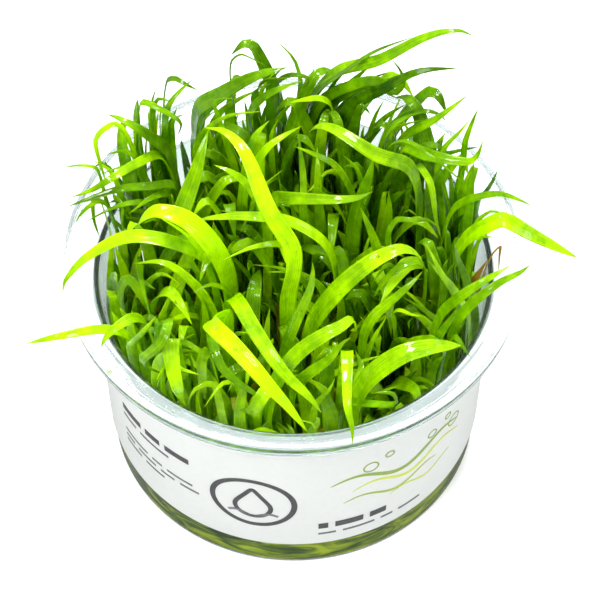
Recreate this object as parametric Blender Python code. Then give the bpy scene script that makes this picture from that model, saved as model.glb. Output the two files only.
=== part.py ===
# Dwarf sagittaria grown in a clear culture cup.
# The cup stands on z = 0 with its axis on the Z axis. The side with the fullest view of the leaves faces -Y.
# Every length below is in millimetres and is scaled to metres when a mesh is made.

import math
import random

import bmesh
import bpy
import numpy as np
from mathutils import Matrix, Vector
from mathutils.bvhtree import BVHTree

MM = 0.001

# Cup
CUP_HEIGHT = 60.5
RIM_RADIUS = 50.0
MOUTH_RADIUS = 45.2
BASE_RADIUS = 42.3
SHOULDER_RADIUS = 43.3
SHOULDER_HEIGHT = 55.5
WALL = 0.8
FLOOR = 0.9
LIP_DEPTH = 3.3
FLANGE_DISH = 1.7
FLANGE_THICKNESS = 1.1
ROUND_STEPS = 36

# Label and jelly
CLEARANCE = 0.3
LABEL_BOTTOM = 9.3
LABEL_TOP = 54.3
LABEL_THICKNESS = 0.25
GEL_TOP = 12.0

# Blades
ROOT_HEIGHT = GEL_TOP + CLEARANCE
BLADE_THICKNESS = 0.62
BLADE_FOLD = 0.10
NECK_SHARE = 0.42
NECK_END = 0.45
TAPER_START = 0.68
LIGHT = Vector((0.0, -0.56, 0.83)).normalized()
TURN_TO_LIGHT = 0.5
TURN_LIMIT = math.radians(40)
TURN_START = 0.15
TURN_END = 0.6
TIPWARD = 1.5
BEND_WEIGHT = 9.0
LEAF_SEGMENTS = 7
EASE_LINE = Vector((0.0, 0.58, -0.81)).normalized()
BLADE_GAP = 0.35
EASE_TRIES = 400
EASE_START = 0.4
EASE_STEP = 0.02
HIDDEN_BELOW = 56.0

# Crowns
CROWN_RADIUS = 1.7
CROWN_NECK = 1.2
CROWN_HEIGHT = 2.4
CROWN_ROOM = 3.2
CROWN_SIDES = 6
LEAVE_AT = (0.7, 0.7)
RISE_TO = (1.3, 2.8)
SHORT_SEGMENTS = 5
SHORT_WIDTH = (2.6, 4.2)
SHORT_REACH = (7.0, 23.0)
SHORT_TOP = 64.0
SHORT_SLOPE = 0.42
SHORT_SPREAD = (-9.0, 8.0)
SHORT_LEAN = 0.4
SHORT_ARCH = ((0.3, 0.55), (0.6, 0.87), (1.0, 1.0), (1.4, 0.95))
SHORT_LEAST = 44.0
SHORT_MOST = 88.0
SHORT_TRIES = 90
SHORT_EASE_TRIES = 3
ROOM_RADIUS = 40.0
TOP_RADIUS = 43.0
MOUTH_HEIGHT = 62.0
SEED = 5

# The blades that stand out one by one. Each has the place of its root on the jelly as (x, y), its width and
# the route of its midrib from there as (x, y, z). "segments" is given where a blade curls more than most.
LEAVES = {
    "back_fold": dict(
        root=(2, 26),
        width=2.5,
        segments=15,
        route=[
            (5, 36, 66), (11, 35, 74), (17, 34, 78), (20, 34, 77), (22, 33, 75), (24, 34, 77),
            (23, 34, 82), (21, 35, 84),
        ],
    ),
    "centre_bright": dict(
        root=(-2, -10),
        width=3.9,
        route=[
            (-1, -12, 66), (0, -9, 72), (-4, -6, 77), (-6, -1, 81), (-9, 5, 85), (-13, 11, 87),
            (-19, 14, 86),
        ],
    ),
    "left_long_arch": dict(
        root=(-17, 2),
        width=3.3,
        route=[
            (-19, -5, 67), (-24, -6, 71), (-31, -5, 73), (-37, -6, 73), (-44, -8, 69),
            (-48, -11, 66), (-49, -13, 63),
        ],
    ),
    "far_left": dict(
        root=(-30, -18),
        width=2.3,
        route=[(-36, -22, 62), (-40, -24, 66), (-48, -27, 68), (-56, -27, 65)],
    ),
    "left_blunt": dict(
        root=(-27, -22),
        width=2.9,
        route=[(-32, -21, 66), (-35, -25, 70), (-38, -27, 69), (-40, -28, 65)],
    ),
    "left_hook": dict(
        root=(-34, 10),
        width=1.3,
        route=[(-41, 11, 66), (-42, 11, 72), (-42, 11, 76), (-45, 11, 77), (-50, 11, 76)],
    ),
    "left_fan": dict(
        root=(-22, 16),
        width=2.3,
        route=[(-29, 19, 70), (-34, 12, 76), (-38, 8, 77), (-41, 7, 75), (-48, 6, 72)],
    ),
    "left_wide": dict(
        root=(-24, 24),
        width=3.3,
        route=[(-28, 21, 70), (-32, 18, 79), (-36, 19, 82), (-40, 21, 82)],
    ),
    "back_left_upright": dict(
        root=(-27, 18),
        width=2.0,
        route=[(-28, 22, 64), (-28, 21, 77), (-26, 21, 86), (-24, 21, 90), (-21, 23, 92)],
    ),
    "back_curl": dict(
        root=(-6, 33),
        width=1.7,
        segments=13,
        route=[(-3, 36, 70), (-3, 34, 78), (0, 33, 81), (3, 33, 80), (3, 34, 77), (1, 34, 75)],
    ),
    "left_flat": dict(
        root=(-26, 4),
        width=4.1,
        route=[(-25, 7, 64), (-22, 8, 72), (-20, 12, 78), (-18, 17, 82)],
    ),
    "centre_left": dict(
        root=(-7, -3),
        width=2.7,
        route=[(-6, 5, 64), (-8, 5, 74), (-12, 6, 80), (-17, 8, 81)],
    ),
    "centre_flat": dict(
        root=(-8, 2),
        width=2.9,
        route=[(-5, 9, 66), (-2, 5, 73), (6, 2, 77), (12, 1, 78), (17, 4, 77)],
    ),
    "right_sweep": dict(
        root=(27, 5),
        width=3.3,
        route=[(26, 10, 74), (22, 7, 83), (17, 6, 87), (12, 8, 89), (7, 12, 89), (3, 15, 83)],
    ),
    "centre_upright": dict(
        root=(12, 6),
        width=3.5,
        route=[(13, 4, 46), (13, 6, 58), (14, 8, 67), (16, 9, 74), (17, 11, 80)],
    ),
    "spear": dict(root=(20, -3), width=2.6, route=[(20, -2, 50), (19, -2, 58), (17, -2, 68), (14, -1, 78)]),
    "right_narrow": dict(
        root=(24, 14),
        width=1.6,
        route=[(26, 10, 78), (27, 7, 82), (29, 3, 81), (30, 0, 76), (32, -3, 69)],
    ),
    "right_arch": dict(
        root=(34, -1),
        width=3.7,
        segments=12,
        route=[
            (36, -1, 50), (35, -2, 60), (37, -2, 68), (40, -3, 73), (44, -3, 76), (48, -4, 74),
            (57, -4, 67), (61, -4, 64),
        ],
    ),
    "right_flat": dict(root=(30, 7), width=2.0, route=[(35, 7, 68), (38, 5, 73), (44, 4, 76), (51, 3, 73)]),
    "right_upright": dict(
        root=(36, 4),
        width=2.1,
        route=[(38, 9, 56), (38, 8, 66), (38, 9, 73), (38, 8, 82)],
    ),
    "back_right_tip": dict(
        root=(35, 16),
        width=1.9,
        route=[(37, 18, 70), (37, 17, 78), (38, 17, 84), (39, 17, 89)],
    ),
    "right_wave": dict(
        root=(26, 18),
        width=3.1,
        route=[(24, 17, 76), (29, 12, 79), (34, 10, 80), (38, 9, 81), (40, 11, 86)],
    ),
    "right_rim_low": dict(
        root=(31, -19),
        width=2.3,
        route=[(35, -16, 58), (37, -18, 65), (41, -16, 70), (46, -14, 71), (50, -10, 70)],
    ),
    "right_rim_high": dict(
        root=(27, -17),
        width=2.6,
        route=[(31, -17, 60), (33, -19, 68), (36, -20, 74), (40, -19, 77), (45, -16, 78)],
    ),
    "right_gloss": dict(
        root=(1, -15),
        width=4.1,
        route=[(4, -15, 54), (8, -16, 66), (12, -16, 73), (18, -14, 78), (23, -12, 78), (27, -11, 73)],
    ),
    "front_upright": dict(
        root=(-4, -21),
        width=2.5,
        route=[(-2, -21, 50), (-1, -21, 58), (2, -19, 67), (4, -17, 73), (4, -16, 79)],
    ),
    "front_long": dict(
        root=(-14, -13),
        width=3.3,
        route=[(-13, -14, 64), (-11, -21, 70), (-8, -28, 72), (-3, -36, 70), (2, -39, 66), (6, -41, 60)],
    ),
    "front_bright": dict(
        root=(-17, -16),
        width=3.7,
        segments=12,
        route=[
            (-14, -21, 66), (-17, -28, 74), (-15, -32, 77), (-10, -38, 77), (-5, -43, 74),
            (-1, -45, 69), (3, -48, 64),
        ],
    ),
    "front_tip": dict(
        root=(9, -29),
        width=2.6,
        route=[(11, -31, 66), (11, -34, 72), (11, -41, 72), (11, -46, 70), (12, -49, 66), (12, -51, 64)],
    ),
    "front_gloss": dict(
        root=(-6, -33),
        width=3.6,
        segments=11,
        route=[(-4, -33, 57), (-1, -33, 66), (4, -31, 72), (9, -30, 75), (12, -27, 74), (13, -27, 69)],
    ),
    "right_wide": dict(
        root=(14, -33),
        width=4.6,
        route=[(14, -33, 57), (18, -33, 64), (23, -32, 69), (29, -31, 70), (35, -28, 66)],
    ),
    "left_drop": dict(
        root=(-21, -29),
        width=3.7,
        segments=12,
        route=[
            (-25, -28, 64), (-25, -31, 72), (-25, -35, 71), (-24, -37, 65), (-23, -37, 58),
            (-21, -36, 53),
        ],
    ),
}

# The rosettes between them. Each is a crown with the blades listed here, and short ones on its other
# sides where there is room.
PLANTLETS = {
    "left_rim": dict(
        root=(-29, 9),
        blades=[
            dict(width=2.0, route=[(-26, 14, 66), (-31, 10, 71), (-36, 8, 73), (-41, 7, 72), (-49, 5, 70)]),
            dict(
                width=1.3,
                segments=11,
                route=[(-36, 10, 60), (-39, 9, 69), (-37, 7, 69), (-37, 5, 66), (-37, 5, 61)],
            ),
            dict(
                width=1.8,
                segments=11,
                route=[
                    (-33, 15, 66), (-36, 18, 79), (-38, 19, 81), (-42, 16, 80), (-41, 12, 75),
                    (-40, 10, 71),
                ],
            ),
        ],
    ),
    "left_edge": dict(
        root=(-36, 2),
        blades=[
            dict(width=1.7, route=[(-40, 8, 66), (-42, 6, 71), (-45, 4, 70), (-47, 3, 67)]),
            dict(
                width=1.6,
                segments=11,
                route=[(-40, 7, 56), (-42, 9, 68), (-43, 7, 71), (-43, 4, 68), (-42, 3, 62)],
            ),
        ],
    ),
    "back_left": dict(
        root=(-29, 24),
        blades=[
            dict(width=2.1, route=[(-34, 25, 68), (-34, 22, 79), (-33, 21, 87)]),
            dict(
                width=1.9,
                segments=11,
                route=[
                    (-34, 19, 66), (-33, 20, 80), (-32, 20, 87), (-28, 18, 87), (-24, 17, 84),
                    (-25, 17, 79),
                ],
            ),
            dict(
                width=2.4,
                route=[(-28, 28, 66), (-28, 28, 81), (-26, 27, 87), (-24, 25, 88), (-20, 24, 86)],
            ),
        ],
    ),
    "back": dict(
        root=(-8, 25),
        blades=[
            dict(width=2.6, route=[(-9, 28, 66), (-9, 27, 76), (-5, 26, 83), (2, 27, 86)]),
            dict(
                width=0.9,
                route=[(-12, 30, 66), (-14, 30, 84), (-12, 30, 91), (-9, 28, 92), (-5, 27, 90)],
            ),
        ],
    ),
    "back_centre": dict(
        root=(10, 31),
        blades=[
            dict(width=2.4, route=[(9, 32, 64), (8, 31, 73), (5, 28, 79), (-1, 25, 81)]),
        ],
    ),
    "back_right": dict(
        root=(19, 29),
        blades=[
            dict(width=2.1, route=[(21, 25, 72), (24, 22, 80), (28, 21, 83), (31, 21, 82), (33, 21, 79)]),
            dict(width=2.2, route=[(19, 23, 62), (19, 19, 74), (21, 19, 80), (24, 20, 82), (28, 20, 84)]),
            dict(width=1.0, route=[(20, 22, 60), (21, 19, 74), (25, 16, 78), (32, 11, 76), (37, 9, 72)]),
        ],
    ),
    "right_back": dict(
        root=(36, 11),
        blades=[
            dict(width=1.6, route=[(40, 10, 66), (41, 8, 71), (42, 7, 75), (43, 6, 82)]),
            dict(width=1.6, route=[(33, 12, 58), (31, 13, 70), (32, 15, 77), (35, 17, 80), (38, 20, 82)]),
        ],
    ),
    "right": dict(
        root=(35, -10),
        blades=[
            dict(width=1.8, route=[(38, -14, 52), (36, -15, 62), (31, -16, 74), (27, -14, 83)]),
            dict(width=1.3, route=[(38, -6, 54), (38, 0, 67), (40, 1, 72), (42, 1, 74), (46, 1, 72)]),
            dict(
                width=1.0,
                segments=11,
                route=[(40, -7, 52), (42, -4, 64), (44, -3, 67), (44, -4, 65), (44, -6, 61)],
            ),
        ],
    ),
    "right_middle": dict(
        root=(24, -9),
        blades=[
            dict(width=2.2, route=[(28, -7, 62), (27, -7, 67), (24, -9, 69), (20, -11, 67), (17, -13, 62)]),
            dict(
                width=1.6,
                segments=11,
                route=[(22, -4, 58), (20, -3, 70), (22, -2, 75), (25, -3, 76), (28, -2, 75), (31, -2, 72)],
            ),
            dict(
                width=1.6,
                route=[(22, -15, 54), (21, -18, 63), (22, -19, 66), (25, -21, 67), (27, -22, 68)],
            ),
        ],
    ),
    "middle": dict(
        root=(15, -11),
        blades=[
            dict(width=2.7, route=[(18, -8, 64), (18, -10, 67), (20, -14, 65), (21, -19, 56)]),
        ],
    ),
    "right_front": dict(
        root=(27, -27),
        blades=[
            dict(width=2.0, route=[(31, -21, 56), (31, -22, 62), (33, -22, 67), (34, -22, 72)]),
            dict(
                width=2.0,
                route=[(32, -23, 52), (33, -24, 62), (34, -26, 66), (35, -28, 66), (37, -29, 63)],
            ),
        ],
    ),
    "front": dict(
        root=(6, -35),
        blades=[
            dict(
                width=2.1,
                route=[
                    (11, -35, 54), (13, -39, 61), (17, -42, 65), (21, -43, 67), (20, -43, 71),
                    (16, -43, 71),
                ],
            ),
        ],
    ),
    "front_middle": dict(
        root=(3, -25),
        blades=[
            dict(width=2.9, route=[(1, -32, 58), (7, -31, 64), (10, -29, 68), (12, -28, 69)]),
        ],
    ),
    "front_left": dict(
        root=(-11, -29),
        blades=[
            dict(
                width=2.1,
                route=[
                    (-17, -25, 60), (-17, -26, 68), (-16, -32, 70), (-14, -35, 67), (-9, -37, 63),
                    (-4, -39, 60),
                ],
            ),
            dict(
                width=2.6,
                segments=11,
                route=[(-16, -28, 52), (-18, -27, 62), (-19, -29, 63), (-19, -31, 58), (-19, -31, 50)],
            ),
            dict(
                width=3.4,
                segments=11,
                route=[(-6, -33, 52), (-4, -36, 62), (-6, -38, 63), (-8, -39, 59), (-10, -38, 54)],
            ),
        ],
    ),
    "left_front": dict(
        root=(-33, -14),
        blades=[
            dict(width=2.2, route=[(-36, -22, 50), (-34, -24, 60), (-31, -26, 68), (-28, -26, 74)]),
            dict(
                width=2.6,
                segments=11,
                route=[(-37, -9, 46), (-37, -6, 57), (-35, -6, 59), (-33, -8, 55), (-31, -9, 50)],
            ),
        ],
    ),
    "left_middle": dict(
        root=(-27, -27),
        blades=[
            dict(
                width=2.2,
                route=[
                    (-28, -24, 64), (-27, -26, 74), (-25, -30, 75), (-27, -31, 71), (-31, -29, 62),
                    (-31, -28, 54),
                ],
            ),
            dict(
                width=1.4,
                route=[(-24, -27, 60), (-23, -30, 70), (-20, -34, 73), (-18, -34, 72), (-16, -33, 71)],
            ),
        ],
    ),
    "centre": dict(
        root=(-10, 12),
        blades=[
            dict(width=2.4, route=[(-8, 13, 62), (-9, 12, 72), (-5, 14, 80), (2, 17, 83)]),
            dict(width=3.0, route=[(-11, 13, 60), (-10, 13, 73), (-9, 13, 79), (-8, 14, 83), (-5, 16, 86)]),
            dict(width=1.5, route=[(-8, 9, 50), (-8, 9, 60), (-9, 3, 70), (-7, 6, 74), (-3, 8, 77)]),
        ],
    ),
    "heart": dict(
        root=(3, 14),
        blades=[
            dict(width=2.1, route=[(3, 6, 58), (2, 6, 68), (2, 9, 76), (1, 13, 85)]),
        ],
    ),
    "left_heart": dict(
        root=(-21, -8),
        blades=[
            dict(
                width=4.8,
                route=[
                    (-15, -6, 50), (-14, -8, 60), (-16, -7, 69), (-19, -6, 75), (-24, -4, 79),
                    (-29, -3, 79), (-33, -3, 74),
                ],
            ),
        ],
    ),
    "back_left_inner": dict(
        root=(-17, 24),
        blades=[
            dict(width=4.0, route=[(-21, 32, 70), (-14, 29, 80), (-8, 28, 86), (-1, 29, 88)]),
        ],
    ),
    "centre_low": dict(
        root=(2, 1),
        blades=[
            dict(
                width=2.6,
                route=[(9, -4, 58), (7, -4, 68), (2, -3, 74), (-7, -3, 77), (-14, -2, 76), (-21, 0, 72)],
            ),
        ],
    ),
    "right_heart": dict(
        root=(15, 14),
        blades=[
            dict(width=2.3, route=[(13, 8, 70), (11, 7, 77), (8, 7, 83), (0, 9, 86)]),
        ],
    ),
    "back_rim": dict(
        root=(3, 37),
        blades=[
            dict(
                width=2.9,
                route=[(5, 39, 70), (11, 37, 78), (19, 33, 86), (27, 35, 90), (34, 36, 92), (39, 36, 90)],
            ),
        ],
    ),
    "back_right_rim": dict(
        root=(28, 25),
        blades=[
            dict(width=2.5, route=[(23, 23, 70), (28, 19, 80), (33, 18, 87), (37, 19, 91)]),
        ],
    ),
    "right_low": dict(
        root=(20, -18),
        blades=[
            dict(
                width=2.5,
                route=[(15, -19, 54), (16, -19, 61), (19, -18, 66), (23, -17, 70), (27, -14, 73)],
            ),
        ],
    ),
}


def wall_radius(z):
    """Outer radius of the wall at height z."""
    return BASE_RADIUS + (SHOULDER_RADIUS - BASE_RADIUS) * z / SHOULDER_HEIGHT


def cup_profile():
    """Half section as (radius, height): up the outside, over the rim and down the inside."""
    top = CUP_HEIGHT
    mouth = top - FLANGE_DISH
    under = mouth - FLANGE_THICKNESS
    return [
        (0.0, 0.0),
        (BASE_RADIUS - 1.0, 0.0),
        (BASE_RADIUS - 0.3, 0.3),
        (BASE_RADIUS, 1.0),
        (SHOULDER_RADIUS, SHOULDER_HEIGHT),
        (MOUTH_RADIUS - 0.5, under),
        (RIM_RADIUS - 1.7, under + 1.0),
        (RIM_RADIUS - 1.2, top - LIP_DEPTH),
        (RIM_RADIUS - 0.4, top - LIP_DEPTH),
        (RIM_RADIUS, top - 0.5),
        (RIM_RADIUS - 0.4, top),
        (RIM_RADIUS - 1.1, top - 0.1),
        (MOUTH_RADIUS + 0.8, mouth + 0.35),
        (MOUTH_RADIUS, mouth),
        (SHOULDER_RADIUS - WALL, SHOULDER_HEIGHT - 0.4),
        (BASE_RADIUS - WALL, 1.6),
        (BASE_RADIUS - WALL - 0.5, FLOOR),
        (0.0, FLOOR),
    ]


def label_profile():
    """Closed section of the printed band."""
    low = wall_radius(LABEL_BOTTOM) + CLEARANCE
    high = wall_radius(LABEL_TOP) + CLEARANCE
    return [
        (low, LABEL_BOTTOM),
        (low + LABEL_THICKNESS, LABEL_BOTTOM),
        (high + LABEL_THICKNESS, LABEL_TOP),
        (high, LABEL_TOP),
        (low, LABEL_BOTTOM),
    ]


def gel_profile():
    """Half section of the jelly, with the low rise that it keeps against the wall."""
    low = BASE_RADIUS - WALL - CLEARANCE
    high = wall_radius(GEL_TOP) - WALL - CLEARANCE
    return [
        (0.0, FLOOR + CLEARANCE),
        (low - 0.8, FLOOR + CLEARANCE),
        (low, FLOOR + CLEARANCE + 0.8),
        (high, GEL_TOP + 0.6),
        (high - 1.5, GEL_TOP),
        (0.0, GEL_TOP),
    ]


def make_material(name, colour, roughness, transmission=0.0):
    material = bpy.data.materials.new(name)
    material.use_nodes = True
    shader = material.node_tree.nodes["Principled BSDF"]
    shader.inputs["Base Color"].default_value = (*colour, 1.0)
    shader.inputs["Roughness"].default_value = roughness
    shader.inputs["Metallic"].default_value = 0.0
    shader.inputs["Transmission Weight"].default_value = transmission
    return material


def add_object(name, mesh_data, material):
    mesh = bpy.data.meshes.new(name)
    mesh_data.to_mesh(mesh)
    mesh_data.free()
    mesh.materials.append(material)
    mesh.shade_smooth()
    mesh.set_sharp_from_angle(angle=math.radians(40))
    made = bpy.data.objects.new(name, mesh)
    bpy.context.scene.collection.objects.link(made)
    return made


def turned(name, profile, material):
    """Spins a half section round the Z axis."""
    bm = bmesh.new()
    verts = [bm.verts.new((r * MM, 0.0, z * MM)) for r, z in profile]
    edges = [bm.edges.new(pair) for pair in zip(verts, verts[1:])]
    bmesh.ops.spin(
        bm,
        geom=verts + edges,
        axis=(0, 0, 1),
        cent=(0, 0, 0),
        steps=ROUND_STEPS,
        angle=math.tau,
        use_merge=True,
    )
    bmesh.ops.remove_doubles(bm, verts=bm.verts, dist=1e-6)
    bmesh.ops.recalc_face_normals(bm, faces=bm.faces)
    return add_object(name, bm, material)


def smooth_route(points, steps=14):
    """Points along a centripetal Catmull-Rom curve through the given ones."""
    points = [np.array(p, float) for p in points]
    points = [2 * points[0] - points[1], *points, 2 * points[-1] - points[-2]]
    knots = [0.0]
    for a, b in zip(points, points[1:]):
        knots.append(knots[-1] + math.sqrt(max(np.linalg.norm(b - a), 1e-6)))
    curve = []
    for i in range(1, len(points) - 2):
        t0, t1, t2, t3 = knots[i - 1 : i + 3]
        p0, p1, p2, p3 = points[i - 1 : i + 3]
        for t in np.linspace(t1, t2, steps, endpoint=False):
            a1 = p0 + (p1 - p0) * (t - t0) / (t1 - t0)
            a2 = p1 + (p2 - p1) * (t - t1) / (t2 - t1)
            a3 = p2 + (p3 - p2) * (t - t2) / (t3 - t2)
            b1 = a1 + (a2 - a1) * (t - t0) / (t2 - t0)
            b2 = a2 + (a3 - a2) * (t - t1) / (t3 - t1)
            curve.append(b1 + (b2 - b1) * (t - t1) / (t2 - t1))
    curve.append(points[-2])
    return np.array(curve)


def ramp(low, high, value):
    share = min(max((value - low) / (high - low), 0.0), 1.0)
    return share * share * (3 - 2 * share)


def width_share(t):
    """How wide a blade is along its length: a narrow neck, an even strap and a long tapered point."""
    neck = NECK_SHARE + (1 - NECK_SHARE) * ramp(0.0, NECK_END, t)
    if t <= TAPER_START:
        return neck
    point = (t - TAPER_START) / (1 - TAPER_START)
    return neck * (1 - point**2.2) ** 0.8


def carried_sides(curve, tangents):
    """Carries the blade's side direction along its midrib without adding twist."""
    heading = curve[-1] - curve[0]
    heading[2] = 0.0
    side = np.cross((0.0, 0.0, 1.0), heading / np.linalg.norm(heading))
    sides = []
    for tangent in tangents:
        side = side - tangent * side.dot(tangent)
        side = side / np.linalg.norm(side)
        sides.append(side)
    return sides


def turn_to_light(tangents, sides):
    """The angle that turns a blade's upper half part of the way to the light."""
    light = np.array(LIGHT)
    across = along = 0.0
    for tangent, side in list(zip(tangents, sides))[len(sides) // 2 :]:
        angle = 2 * math.atan2(-light.dot(side), light.dot(np.cross(tangent, side)))
        along += math.cos(angle)
        across += math.sin(angle)
    angle = math.atan2(across, along) / 2
    return min(max(angle * TURN_TO_LIGHT, -TURN_LIMIT), TURN_LIMIT)


def blade_rings(route, width, segments, spare=0.0):
    """Sections along a blade, each with four points round the midrib: right edge, top, left edge, underside.
    They come with the tip, and are closer together where the blade bends and towards the tip. With spare,
    the sections grow by that much on every side."""
    curve = smooth_route(route)
    tangents = np.gradient(curve, axis=0)
    tangents /= np.linalg.norm(tangents, axis=1)[:, None]
    steps = np.linalg.norm(np.diff(curve, axis=0), axis=1)
    bends = np.arccos(np.clip(np.sum(tangents[1:] * tangents[:-1], axis=1), -1.0, 1.0))
    lengths = np.concatenate([[0.0], np.cumsum(steps)])
    spans = np.concatenate([[0.0], np.cumsum(steps + BEND_WEIGHT * bends)])
    sides = carried_sides(curve, tangents)
    turn = turn_to_light(tangents, sides)
    rings = []
    for i in range(segments):
        at = (1 - (1 - i / segments) ** TIPWARD) * spans[-1]
        k = min(int(np.searchsorted(spans, at, side="right")) - 1, len(curve) - 2)
        part = (at - spans[k]) / (spans[k + 1] - spans[k])
        t = (lengths[k] + (lengths[k + 1] - lengths[k]) * part) / lengths[-1]
        centre = curve[k] + (curve[k + 1] - curve[k]) * part
        tangent = tangents[k] + (tangents[k + 1] - tangents[k]) * part
        tangent = tangent / np.linalg.norm(tangent)
        side = sides[k] - tangent * sides[k].dot(tangent)
        side = side / np.linalg.norm(side)
        face = np.cross(tangent, side)
        angle = turn * ramp(TURN_START, TURN_END, t)
        cosine, sine = math.cos(angle), math.sin(angle)
        side, face = side * cosine + face * sine, face * cosine - side * sine
        half = width * width_share(t) / 2
        thick = BLADE_THICKNESS * (1.15 - 0.55 * t) / 2
        fold = face * BLADE_FOLD * 2 * half
        rings.append(
            [
                centre + side * (half + spare) + fold,
                centre + face * (thick + spare),
                centre - side * (half + spare) + fold,
                centre - face * (thick + spare),
            ]
        )
    return rings, curve[-1]


def tree_of(rings, tip):
    """Search tree of a blade's surface, for finding where two blades would touch."""
    verts = [Vector(p) for ring in rings for p in ring] + [Vector(tip)]
    faces = []
    for i in range(len(rings) - 1):
        for j in range(4):
            k = (j + 1) % 4
            faces.append((4 * i + j, 4 * i + k, 4 * i + 4 + k, 4 * i + 4 + j))
    last = 4 * (len(rings) - 1)
    faces += [(last + j, last + (j + 1) % 4, len(verts) - 1) for j in range(4)]
    return BVHTree.FromPolygons(verts, faces)


def crosses_itself(rings, tip):
    """Whether a blade runs through itself, however its four-sided faces are split."""
    verts = [Vector(p) for ring in rings for p in ring] + [Vector(tip)]
    faces = []
    for i in range(len(rings) - 1):
        for j in range(4):
            k = (j + 1) % 4
            a, b, c, d = 4 * i + j, 4 * i + k, 4 * i + 4 + k, 4 * i + 4 + j
            faces += [(a, b, c), (a, c, d), (a, b, d), (b, c, d)]
    last = 4 * (len(rings) - 1)
    faces += [(last + j, last + (j + 1) % 4, len(verts) - 1) for j in range(4)]
    tree = BVHTree.FromPolygons(verts, faces)
    return any(not set(faces[a]) & set(faces[b]) for a, b in tree.overlap(tree) if a < b)


def box_of(rings, tip):
    points = np.array([p for ring in rings for p in ring] + [tip])
    return points.min(0), points.max(0)


def boxes_meet(a, b):
    return bool(np.all(a[0] <= b[1]) and np.all(b[0] <= a[1]))


class Bed:
    """What stands in the cup so far. A new blade is eased along EASE_LINE until it clears all of it."""

    def __init__(self):
        self.placed = []

    def add_solid(self, solid):
        verts = [v.co / MM for v in solid.data.vertices]
        faces = [tuple(p.vertices) for p in solid.data.polygons]
        points = np.array(verts)
        self.placed.append((solid.name, BVHTree.FromPolygons(verts, faces), (points.min(0), points.max(0))))

    def add_crown(self, name, root):
        corners = [(math.cos(a), math.sin(a)) for a in np.linspace(0, math.tau, 8, endpoint=False)]
        rings = []
        for z in (ROOT_HEIGHT - 1.0, ROOT_HEIGHT + CROWN_HEIGHT):
            ring = [Vector((root[0] + CROWN_ROOM * x, root[1] + CROWN_ROOM * y, z)) for x, y in corners]
            rings.append(ring)
        faces = [(i, (i + 1) % 8, 8 + (i + 1) % 8, 8 + i) for i in range(8)]
        points = np.array(rings[0] + rings[1])
        tree = BVHTree.FromPolygons(rings[0] + rings[1], faces)
        self.placed.append((name, tree, (points.min(0), points.max(0))))

    def touches(self, owner, rings, thin, tip):
        """Whether a blade, given with spare room round it and without, meets anything. Blades of one crown
        may stand close together where they leave it."""
        whole = tree_of(rings, tip)
        box = box_of(rings, tip)
        near = [(name, tree) for name, tree, other in self.placed if boxes_meet(box, other)]
        if any(name != owner and whole.overlap(tree) for name, tree in near):
            return True
        own = [tree for name, tree in near if name == owner]
        if not own:
            return False
        upper = tree_of(rings[1:], tip)
        bare = tree_of(thin, tip)
        return any(upper.overlap(tree) or bare.overlap(tree) for tree in own[1:])

    def place(self, owner, route, width, segments, chance, tries):
        """Returns the blade's sections and tip once it is clear, or None where no try is."""
        route = [np.array(p, float) for p in route]
        for attempt in range(tries):
            reach = 0.0 if attempt == 0 else EASE_START + attempt * EASE_STEP
            tried = route[:2]
            shift = 0.0
            for p in route[2:]:
                shift = shift / 2 + reach * chance.uniform(-1, 1)
                moved = p + np.array(EASE_LINE) * shift
                if p[2] < HIDDEN_BELOW:
                    moved = moved + np.array((chance.uniform(-1, 1), chance.uniform(-1, 1), 0.0)) * reach
                tried.append(moved)
            rings, tip = blade_rings(tried, width, segments)
            if crosses_itself(rings, tip):
                continue
            wide, tip = blade_rings(tried, width, segments, spare=BLADE_GAP)
            if not self.touches(owner, wide, rings, tip):
                self.placed.append((owner, tree_of(rings, tip), box_of(rings, tip)))
                return rings, tip
        return None


def match_order(face, ring):
    """Pairs a face's corners with a section's points so that the strip between them doesn't twist."""
    corners = [loop.vert for loop in face.loops]
    points = [Vector(p) * MM for p in ring]
    count = len(points)

    def spread(turn):
        return sum((corners[i].co - points[(i + turn) % count]).length for i in range(count))

    best = min(range(count), key=spread)
    return [(corners[i], points[(i + best) % count]) for i in range(count)]


def grow(bm, face, rings, tip):
    """Extrudes a face through a blade's sections and closes it at the tip."""
    for ring in rings:
        face = bmesh.ops.extrude_discrete_faces(bm, faces=[face])["faces"][0]
        for corner, point in match_order(face, ring):
            corner.co = point
    point = bmesh.ops.poke(bm, faces=[face])["verts"][0]
    point.co = Vector(tip) * MM


def stub(bm, rings):
    """The closed foot of a blade between its first two sections. Returns the face that the rest grows from."""
    foot = bmesh.ops.create_cone(bm, cap_ends=True, segments=4, radius1=MM, radius2=MM, depth=2 * MM)
    made = foot["verts"]
    ends = sorted({f for v in made for f in v.link_faces}, key=lambda f: f.calc_center_median().z)
    low, high = ends[0], ends[-1]
    under = {v: min(low.verts, key=lambda w: (w.co - v.co).length) for v in high.verts}
    bmesh.ops.translate(bm, verts=made, vec=Vector(np.mean(rings[0], axis=0)) * MM)
    for corner, point in match_order(high, rings[0]):
        corner.co = point
        under[corner].co = point
    for corner, point in match_order(high, rings[1]):
        corner.co = point
    return high


def leaf_object(name, blade, material):
    rings, tip = blade
    bm = bmesh.new()
    face = stub(bm, rings)
    grow(bm, face, rings[2:], tip)
    return add_object(name, bm, material)


def bearing(point, root):
    return math.atan2(point[1] - root[1], point[0] - root[0])


def apart(a, b):
    """Angle between two bearings."""
    return abs((a - b + math.pi) % math.tau - math.pi)


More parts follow.
